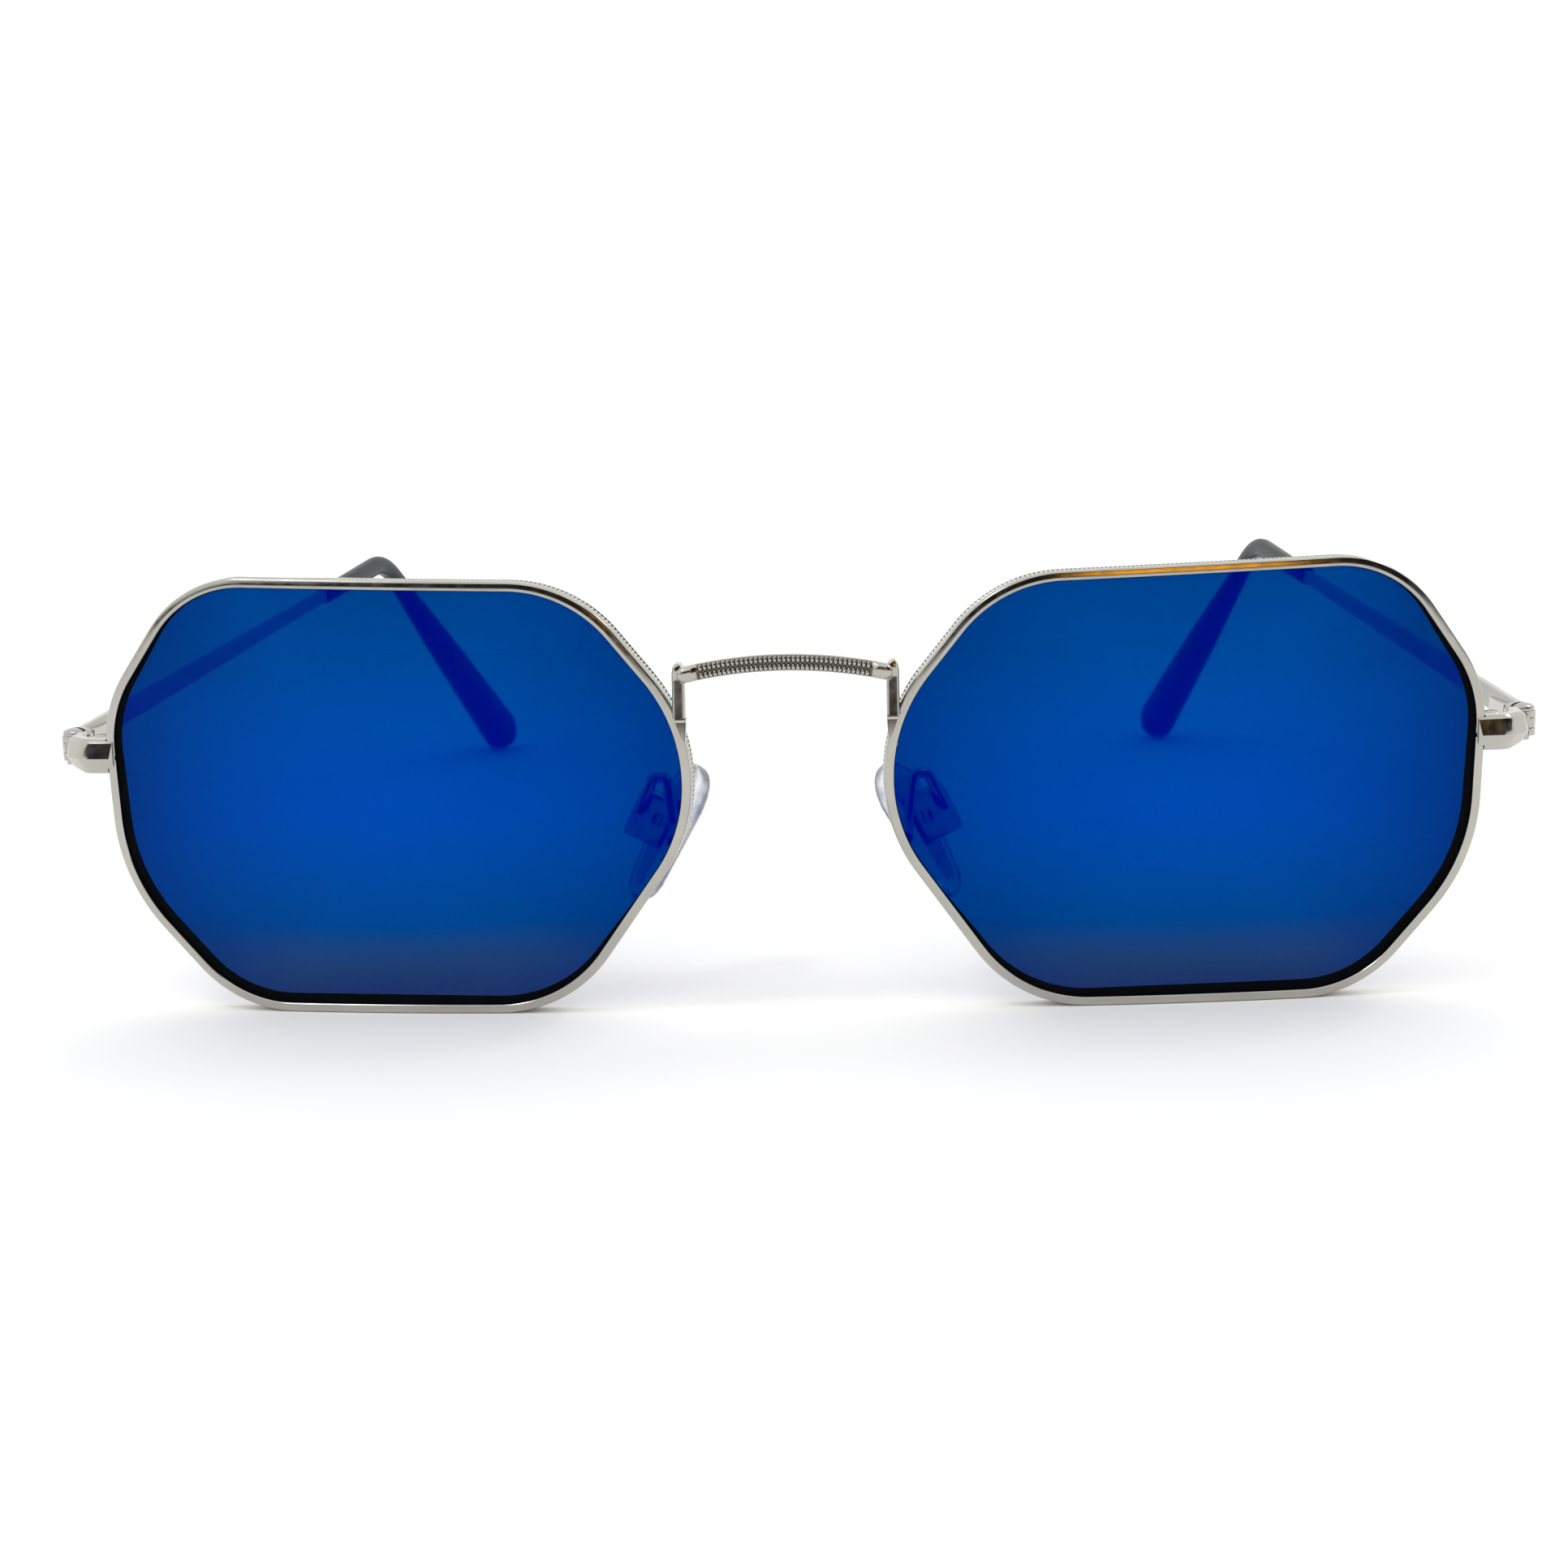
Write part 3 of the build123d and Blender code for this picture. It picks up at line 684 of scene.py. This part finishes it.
def make_bridge():
    """Arched bar with smooth rounded ends and two rows of beads along its front."""
    low = corner("bridge", 0)
    high = corner("bridge", 1)
    half_height = BRIDGE_HEIGHT / 2
    rise = high.z - low.z - 2 * half_height + BAR_RISE
    apex = high.z - half_height
    half_span = high.x - BAR_INSIDE
    radius = (half_span ** 2 + rise ** 2) / (2 * rise)
    reach = half_span / radius
    front = low.y
    back = high.y

    def frame_at(angle):
        """Middle line point and upward direction at an angle from the apex."""
        up = Vector((sin(angle), 0, cos(angle)))
        return Vector((0, 0, apex - radius)) + up * radius, up

    rings = []
    for i in range(BAR_RINGS + 1):
        share = -cos(pi * i / BAR_RINGS)
        middle, up = frame_at(reach * share)
        along = abs(share) * reach * radius
        end = max(0.0, (along - (reach * radius - half_height)) / half_height)
        thin = sqrt(max(BAR_END, 1 - end * end))
        sunk = BAR_SUNK * (1 - min(1, max(0, (along - BEADED_HALF) / BAR_STEP)))
        centre_y = (front + sunk + back) / 2
        half_depth = (back - front - sunk) / 2 * (BAR_DEEP + (1 - BAR_DEEP) * thin)
        rings.append([
            middle + up * (half_height * thin * b) + Vector((0, centre_y + half_depth * a, 0))
            for a, b in oval(1, 1, squareness=3.0, count=20)
        ])
    points, faces = tube(rings)
    # Dirt and painted shade on the bar between the beads
    dirt_and_shade_y = front + BAR_SUNK + BAR_DIRT_AND_SHADE
    cavity = [
        1.0 if abs(point.x) < BEADED_HALF and point.y < dirt_and_shade_y else 0.0
        for point in points
    ]
    count = int(2 * BEADED_HALF / BEAD_PITCH)
    for row in (-1, 1):
        for i in range(count):
            angle = (i - (count - 1) / 2) * BEAD_PITCH / radius
            middle, up = frame_at(angle)
            sideways = Vector((up.z, 0, -up.x))
            seat = middle + up * (row * BEAD_ROW)
            seat.y = front + BEAD_SIZE[2] + BEAD_INSIDE
            egg, egg_faces, egg_dirt_and_shade = bead(seat, sideways, up, BEAD_DIRT_AND_SHADE[row])
            faces += [tuple(len(points) + j for j in face) for face in egg_faces]
            points += egg
            cavity += egg_dirt_and_shade
    bridge = solid("bridge_beaded", points, faces, cavity, smooth_below=40)
    finished(bridge, plating, "polished_metal", "front", "bridge")


# --- Bridge post --------------------------------------------------------------------
# The post's front, as height up its length and how far it stands forward: it leans back
# to the bridge above a small step with a ring, and runs straight down below
POST_FRONT = [
    (0.0, 0.0),
    (0.30, 0.0),
    (0.31, 0.08),
    (0.34, 0.08),
    (0.35, 0.0),
    (0.36, 0.0),
    (0.37, 0.64),
    (0.41, 0.58),
    (0.80, 0.05),
    (0.84, 0.0),
    (0.88, 0.0),
    (0.96, 0.0),
    (1.0, -0.18),
]
RING_GROOVES = (0.30, 0.35, 0.36)
POST_SIDES = 28
POST_CROWN = 0.9          # height at which the top corner starts to round
CROWN_LEAST = 0.15        # square of the share of the width that is left at the top
FOOT_WIDTH = 0.75         # share of the width at the foot
FOOT_HEIGHT = 0.2         # height at which the post has its full width


def make_post(side):
    """Post behind each end of the bridge, with a rounded top corner that shows above it."""
    low = corner("left_bridge_post", 0)
    high = corner("left_bridge_post", 1)
    rings = []
    for share, proud in POST_FRONT:
        into_crown = max(0, share - POST_CROWN) / (1 - POST_CROWN)
        crown = sqrt(max(CROWN_LEAST, 1 - into_crown ** 2))
        foot = FOOT_WIDTH + (1 - FOOT_WIDTH) * min(1, share / FOOT_HEIGHT)
        half_width = (high.x - low.x) / 2 * crown * foot
        front = low.y - proud
        half_depth = (high.y - front) / 2
        height = low.z + (high.z - low.z) * share
        centre = Vector(((low.x + high.x) / 2, front + half_depth, height))
        section = oval(half_width, half_depth, squareness=4.5, count=POST_SIDES)
        rings.append([centre + Vector((a, b, 0)) for a, b in section])
    points, faces = tube([mirrored(ring, side) for ring in rings])
    # Dirt and painted shade in the ring's grooves
    cavity = [
        1.0 if share in RING_GROOVES else 0.0
        for share, proud in POST_FRONT
        for i in range(POST_SIDES)
    ]
    post = solid(f"{side}_post_shaped", points, faces, cavity, smooth_below=32)
    finished(post, plating, "polished_metal", "front", f"{side}_bridge_post")


# --- Upright screws -----------------------------------------------------------------
SLOT_WIDTH = 0.35
SLOT_DEPTH = 0.3
HEAD_EDGE = 0.35          # height of the head's straight edge, as a share of the head
SPOKES = 40
DOME_STEPS = 8
# Radius of the shank, height of the head and angle of the slot
SCREWS = {
    "closing_screw": (0.55, 0.5, 0),
    "hinge_screw": (0.7, 0.7, radians(35)),
}


def make_screw(side, part):
    """Turned screw with a plain shank and a slotted domed head."""
    shank, rise, slot_turn = SCREWS[part]
    low = corner(f"left_{part}", 0)
    high = corner(f"left_{part}", 1)
    middle = (low + high) / 2
    head = (high.x - low.x) / 2
    under = high.z - rise
    edge = under + HEAD_EDGE * rise
    outline = [(shank, low.z), (shank, under), (head, under), (head, edge)]
    for i in range(1, DOME_STEPS):
        angle = pi / 2 * i / DOME_STEPS
        outline.append((head * cos(angle), edge + (high.z - edge) * sin(angle)))
    rings = [
        [(middle.x + a, middle.y + b, z) for a, b in oval(radius, radius, count=SPOKES)]
        for radius, z in outline
    ]
    points, faces = tube([mirrored(ring, side) for ring in rings])
    screw = solid(f"{side}_{part}_turned", points, faces, smooth_below=CRISP_ABOVE)
    along = Vector((cos(slot_turn), sin(slot_turn), 0)) * 2 * head
    across = Vector((-sin(slot_turn), cos(slot_turn), 0)) * SLOT_WIDTH / 2
    middle.z = high.z - SLOT_DEPTH
    floor = [
        middle + along + across,
        middle - along + across,
        middle - along - across,
        middle + along - across,
    ]
    box = [[point + Vector((0, 0, z)) for point in floor] for z in (0, 1)]
    points, faces = tube([mirrored(ring, side) for ring in box])
    cutter = solid("slot_cutter", points, faces)
    cut = screw.modifiers.new("slot", "BOOLEAN")
    cut.object = cutter
    cut.solver = "EXACT"
    applied(screw)
    bpy.data.objects.remove(cutter)
    screw.data.set_sharp_from_angle(angle=radians(CRISP_ABOVE))
    finished(screw, screw_steel, "screw_steel", "front", f"{side}_{part}")


# --- Arm tip ------------------------------------------------------------------------
# The arm's middle line: its start at the hinge, its corner over the ear and its end
ARM_START = HINGE + Vector((0.4, 1.8, 0))
ARM_START.z = LENS_V0 + 4.15
ARM_BEND = Vector((59.9, 36.0, LENS_V0 + 12.0))
ARM_END = Vector((50.4, 72.82, LENS_V0 - 19.27))
EAR_BEND = 11.0           # radius of the bend over the ear
SLEEVE_SHARE = 0.75       # of the way from the start to the corner, where the tip begins
TIP_START = (1.9, 2.2)    # thickness and height of the tip at its mouth
TIP_BEND = (2.0, 2.5)     # over the ear
TIP_SWELL = (3.7, 4.3)    # at SWELL_SHARE of the drop behind the ear
TIP_END = (5.3, 6.4)
SWELL_SHARE = 0.4
TIP_CAP = 2.8             # length of the rounded end
TIP_MOUTH = 0.35          # length of the rounded mouth
MOUTH_DRAW = 0.3          # how much the mouth is drawn in
CAP_LEAST = 0.02          # square of the share of the size that is left at the end
CAP_THICK = 0.35          # share of the thickness that the end keeps
TIP_RINGS = 90


def between(stations, along):
    """Value at a distance, blended between stations of (distance, value, ...)."""
    for (a, *low), (b, *high) in zip(stations, stations[1:]):
        if along <= b:
            return [p + (q - p) * (along - a) / (b - a) for p, q in zip(low, high)]
    return list(stations[-1][1:])


def make_tip(side):
    """Plastic tip: a slim sleeve over the ear that swells to a rounded teardrop end."""
    ahead = (ARM_BEND - ARM_START).normalized()
    down = (ARM_END - ARM_BEND).normalized()
    begin = ARM_START.lerp(ARM_BEND, SLEEVE_SHARE)
    out_of_side = ahead.cross(down).normalized()
    turn = ahead.angle(down)
    reach = EAR_BEND * tan(turn / 2)
    arc_start = ARM_BEND - ahead * reach
    centre = arc_start + out_of_side.cross(ahead) * EAR_BEND
    first = (arc_start - begin).length
    second = EAR_BEND * turn
    total = first + second + (ARM_END - ARM_BEND).length - reach
    swell = first + second + (total - first - second) * SWELL_SHARE
    sizes = [
        (0, *TIP_START),
        (first, *TIP_BEND),
        (first + second, *TIP_BEND),
        (swell, *TIP_SWELL),
        (total, *TIP_END),
    ]
    rings = []
    for i in range(TIP_RINGS + 1):
        share = (1 - cos(pi * i / TIP_RINGS)) / 2
        along = share * total
        if along < first:
            place = begin + ahead * along
            heading = ahead
        elif along < first + second:
            angle = (along - first) / EAR_BEND
            rotation = Matrix.Rotation(angle, 3, out_of_side)
            place = centre + rotation @ (arc_start - centre)
            heading = rotation @ ahead
        else:
            place = ARM_END - down * (total - along)
            heading = down
        thickness, height = between(sizes, along)
        from_start = along / TIP_MOUTH
        from_end = (total - along) / TIP_CAP
        draw_in = sqrt(1 - (1 - min(1, from_start)) ** 2 * MOUTH_DRAW)
        rounding = sqrt(max(CAP_LEAST, 1 - (1 - min(1, from_end)) ** 2))
        upward = heading.cross(out_of_side)
        rings.append([
            place
            + out_of_side * (a * (CAP_THICK + (1 - CAP_THICK) * rounding) * draw_in)
            + upward * (b * rounding * draw_in)
            for a, b in oval(thickness / 2, height / 2, squareness=2.5, count=32)
        ])
    points, faces = tube([mirrored(ring, side) for ring in rings])
    tip = solid(f"{side}_tip_moulded", points, faces, smooth_below=50)
    finished(tip, tip_material, "tip_plastic", f"{side}_temple", f"{side}_temple_tip")


# --- Nose pad -----------------------------------------------------------------------
PAD_SPLAY = radians(26)   # how far its face turns from the nose to the wearer
PAD_SLANT = radians(29)   # how far its top leans in to the nose
PAD_THICK = 2.3
PIVOT_DEPTH = 1.35        # of the pad's pivot behind its back face
PAD_SIDES = 64
PAD_TOP = (3.7, 2.5)      # radius and height of the upper circle
PAD_FOOT = (2.7, -5.2)    # and of the lower one
PAD_CROWN = 0.15          # radius that the foot's circle has left at the crown
# From the recess at the back to the front: how far the outline is drawn in, and depth
PAD_LAYERS = [
    (1.45, 0.5),
    (1.45, 0.0),
    (0.55, 0.0),
    (0.2, 0.12),
    (0.03, 0.4),
    (0.0, 0.8),
    (0.06, 1.15),
]
DOME_LAYERS = 12


def pad_outline(inset):
    """Egg-shaped outline of the pad, as the hull of its two circles, drawn in by inset."""
    (top_r, top_v), (foot_r, foot_v) = PAD_TOP, PAD_FOOT
    lean = (top_r - foot_r) / (top_v - foot_v)
    outline = []
    for i in range(PAD_SIDES):
        angle = 2 * pi * i / PAD_SIDES
        radius, height = PAD_TOP if sin(angle) > -lean else PAD_FOOT
        outline.append(((radius - inset) * cos(angle), height + (radius - inset) * sin(angle)))
    return outline


def make_pad(side):
    """Silicone pad with a soft crowned face and a recess that holds its insert."""
    to_nose = Vector((
        -cos(PAD_SPLAY) * cos(PAD_SLANT),
        sin(PAD_SPLAY) * cos(PAD_SLANT),
        -sin(PAD_SLANT),
    ))
    up = Vector((
        -cos(PAD_SPLAY) * sin(PAD_SLANT),
        sin(PAD_SPLAY) * sin(PAD_SLANT),
        cos(PAD_SLANT),
    ))
    across = up.cross(to_nose)
    origin = PAD_PIVOT + to_nose * PIVOT_DEPTH
    layers = list(PAD_LAYERS)
    start_inset, start_depth = layers[-1]
    for i in range(1, DOME_LAYERS + 1):
        angle = pi / 2 * i / DOME_LAYERS
        inset = start_inset + (PAD_FOOT[0] - PAD_CROWN - start_inset) * (1 - cos(angle))
        layers.append((inset, start_depth + (PAD_THICK - start_depth) * sin(angle)))
    rings = [
        [origin + across * a + up * b + to_nose * depth for a, b in pad_outline(inset)]
        for inset, depth in layers
    ]
    points, faces = tube([mirrored(ring, side) for ring in rings])
    pad = solid(f"{side}_pad_silicone", points, faces, smooth_below=60)
    finished(pad, pad_material, "clear_silicone", f"{side}_pad", f"{side}_nose_pad")


# --- All pieces ---------------------------------------------------------------------
make_bridge()
for side in SIDES:
    make_rim(side)
    make_lens(side)
    make_tip(side)
    make_pad(side)
    make_post(side)
    # Softened copies of CAD nodes: the part, the width of its soft edges and its body
    for part, bevel, body in [
        ("end_piece", 0.06, "front"),
        ("closing_block_upper", 0.08, "front"),
        ("closing_block_lower", 0.08, "front"),
        ("hinge_front", 0.1, "front"),
        ("hinge_temple", 0.1, f"{side}_temple"),
        ("temple_arm", 0, f"{side}_temple"),
        ("pad_arm", 0, "front"),
        ("pad_box", 0.06, "front"),
        ("pad_insert", 0.04, f"{side}_pad"),
    ]:
        node = f"{side}_{part}"
        surface = arm_plating if part == "temple_arm" else plating
        dressed(node, f"{node}_plated", bevel, surface, "polished_metal", body)
    for part in SCREWS:
        make_screw(side, part)
    pad_screw = f"{side}_pad_screw"
    dressed(pad_screw, f"{pad_screw}_turned", 0.03, screw_steel, "screw_steel", "front")

# --- Studio -------------------------------------------------------------------------
FLOOR_REACH = 4.0         # half the floor's size, in metres
FLOOR_DROP = 0.02         # of the floor below the glasses' lowest points
FLOOR_TONES = [(0.3, (0.94, 0.94, 0.94)), (0.7, (0.965, 0.965, 0.965))]


def make_floor():
    """Plain pale floor with a very faint mottle."""
    grid = bmesh.new()
    bmesh.ops.create_grid(grid, x_segments=8, y_segments=8, size=FLOOR_REACH)
    mesh = bpy.data.meshes.new("floor")
    grid.to_mesh(mesh)
    grid.free()
    floor = placed("floor", mesh)
    floor.location.z = -FLOOR_DROP * MM
    material, tree, shader = new_material("pale_floor", Roughness=0.7, Specular_IOR_Level=0.1)
    mottle = noise(tree, object_place(tree), scale=6.0, detail=2.0)
    tone = ramp(tree, mottle, FLOOR_TONES)
    tree.links.new(tone, shader.inputs["Base Color"])
    mesh.materials.append(material)


WHITE = (1, 1, 1)
BLACK = (0, 0, 0)
WORLD_BRIGHT = 1.1
BACKDROP = (0.95, 0.95, 0.95)
DARK_WALL = (0.012, 0.012, 0.012)
# The dark wall fills directions, given as the x, y and z of a unit vector
WALL_FOOT = (0.12, 0.16)  # z of its soft lower edge
WALL_SIDE = (0.1, -0.25)  # y of its soft sides
WALL_TOP = 0.56           # z of its upper edge at x = 0, and how soft that is
WALL_SOFT = 0.04
WALL_SLANT = 0.48         # how fast the upper edge rises towards +x
NEAR_FLOOR = 0.03         # share of the wall's darkness that is left below its foot
WARM_LAMP = (1.7, 0.72, 0.06)
WARM_DIRECTION = Vector((0.259, -0.903, 0.342)).normalized()
WARM_EDGE = (0.989, 0.994)      # cosine of the angle to its middle, at its soft edge
WARM_BAND = [(0.27, BLACK), (0.29, WHITE), (0.39, WHITE), (0.41, BLACK)]    # z it keeps to


def make_world():
    """Bright soft surroundings.  Only reflections see the dark wall in front of the
    glasses and the small warm lamp on it; matt surfaces are lit by an even white, and
    the camera sees a plain backdrop."""
    world = bpy.data.worlds.new("studio")
    bpy.context.scene.world = world
    world.use_nodes = True
    tree = world.node_tree
    heading = add_node(tree, "ShaderNodeTexCoord").outputs["Generated"]
    parts = add_node(tree, "ShaderNodeSeparateXYZ", {"Vector": heading}).outputs
    foot, full = WALL_FOOT
    above_foot = ramp(tree, parts["Z"], [(foot, [NEAR_FLOOR] * 3), (full, WHITE)])
    slanted = combined(tree, "MULTIPLY_ADD", parts["X"], -WALL_SLANT, parts["Z"])
    below_top = ramp(tree, slanted, [(WALL_TOP, WHITE), (WALL_TOP + WALL_SOFT, BLACK)])
    height = combined(tree, "MULTIPLY", above_foot, below_top)
    wall = combined(tree, "MULTIPLY", height, mapped(tree, parts["Y"], *WALL_SIDE))
    room = mixed(tree, wall, (*WHITE, 1), (*DARK_WALL, 1))
    near = add_node(
        tree,
        "ShaderNodeVectorMath",
        {0: heading, 1: WARM_DIRECTION},
        operation="DOT_PRODUCT",
    )
    glow = mapped(tree, near.outputs["Value"], *WARM_EDGE)
    lamp = combined(tree, "MULTIPLY", glow, ramp(tree, parts["Z"], WARM_BAND))
    lit = mixed(tree, lamp, room, (*WARM_LAMP, 1))
    path = add_node(tree, "ShaderNodeLightPath").outputs
    even = mixed(tree, path["Is Diffuse Ray"], lit, (*WHITE, 1))
    seen = mixed(tree, path["Is Camera Ray"], even, (*BACKDROP, 1))
    background = tree.nodes["Background"]
    tree.links.new(seen, background.inputs["Color"])
    background.inputs["Strength"].default_value = WORLD_BRIGHT


# Lamps: place and size in metres, and power
LAMPS = {
    "key": ((-0.35, -0.25, 0.7), 0.15, 0.6),
    "fill": ((0.5, 0.2, 0.6), 0.12, 0.35),
}


def make_lamp(name, place, size, power):
    """Soft square lamp that looks at the glasses."""
    data = bpy.data.lights.new(name, "AREA")
    data.size = size
    data.energy = power
    lamp = placed(name, data)
    lamp.location = place
    lamp.rotation_euler = (-Vector(place)).to_track_quat("-Z", "Y").to_euler()


# Camera: place in millimetres, and the angles it is turned by
CAMERA_PLACE = Vector((9.0, -276.0, 61.5))
CAMERA_YAW = radians(-2.03)
CAMERA_PITCH = radians(-11.07)
CAMERA_ROLL = radians(-1.34)
CAMERA_LENS = 52.17       # focal length on a sensor that is SENSOR wide
SENSOR = 36.0
CAMERA_SHIFT = -0.0148    # sideways, as a share of the frame


def make_camera():
    """Camera a little above the glasses, nearly straight in front."""
    ahead = Vector((
        sin(CAMERA_YAW) * cos(CAMERA_PITCH),
        cos(CAMERA_YAW) * cos(CAMERA_PITCH),
        sin(CAMERA_PITCH),
    ))
    level = Vector((cos(CAMERA_YAW), -sin(CAMERA_YAW), 0))
    above = level.cross(ahead)
    right = level * cos(CAMERA_ROLL) + above * sin(CAMERA_ROLL)
    up = above * cos(CAMERA_ROLL) - level * sin(CAMERA_ROLL)
    data = bpy.data.cameras.new("camera")
    data.lens = CAMERA_LENS
    data.sensor_width = SENSOR
    data.shift_x = CAMERA_SHIFT
    data.clip_start = 0.01
    camera = placed("camera", data)
    turn = Matrix((right, up, -ahead)).transposed().to_4x4()
    camera.matrix_world = Matrix.Translation(CAMERA_PLACE * MM) @ turn
    bpy.context.scene.camera = camera


make_floor()
make_world()
for name, (place, size, power) in LAMPS.items():
    make_lamp(name, place, size, power)
make_camera()
bpy.context.scene.view_settings.view_transform = "Standard"
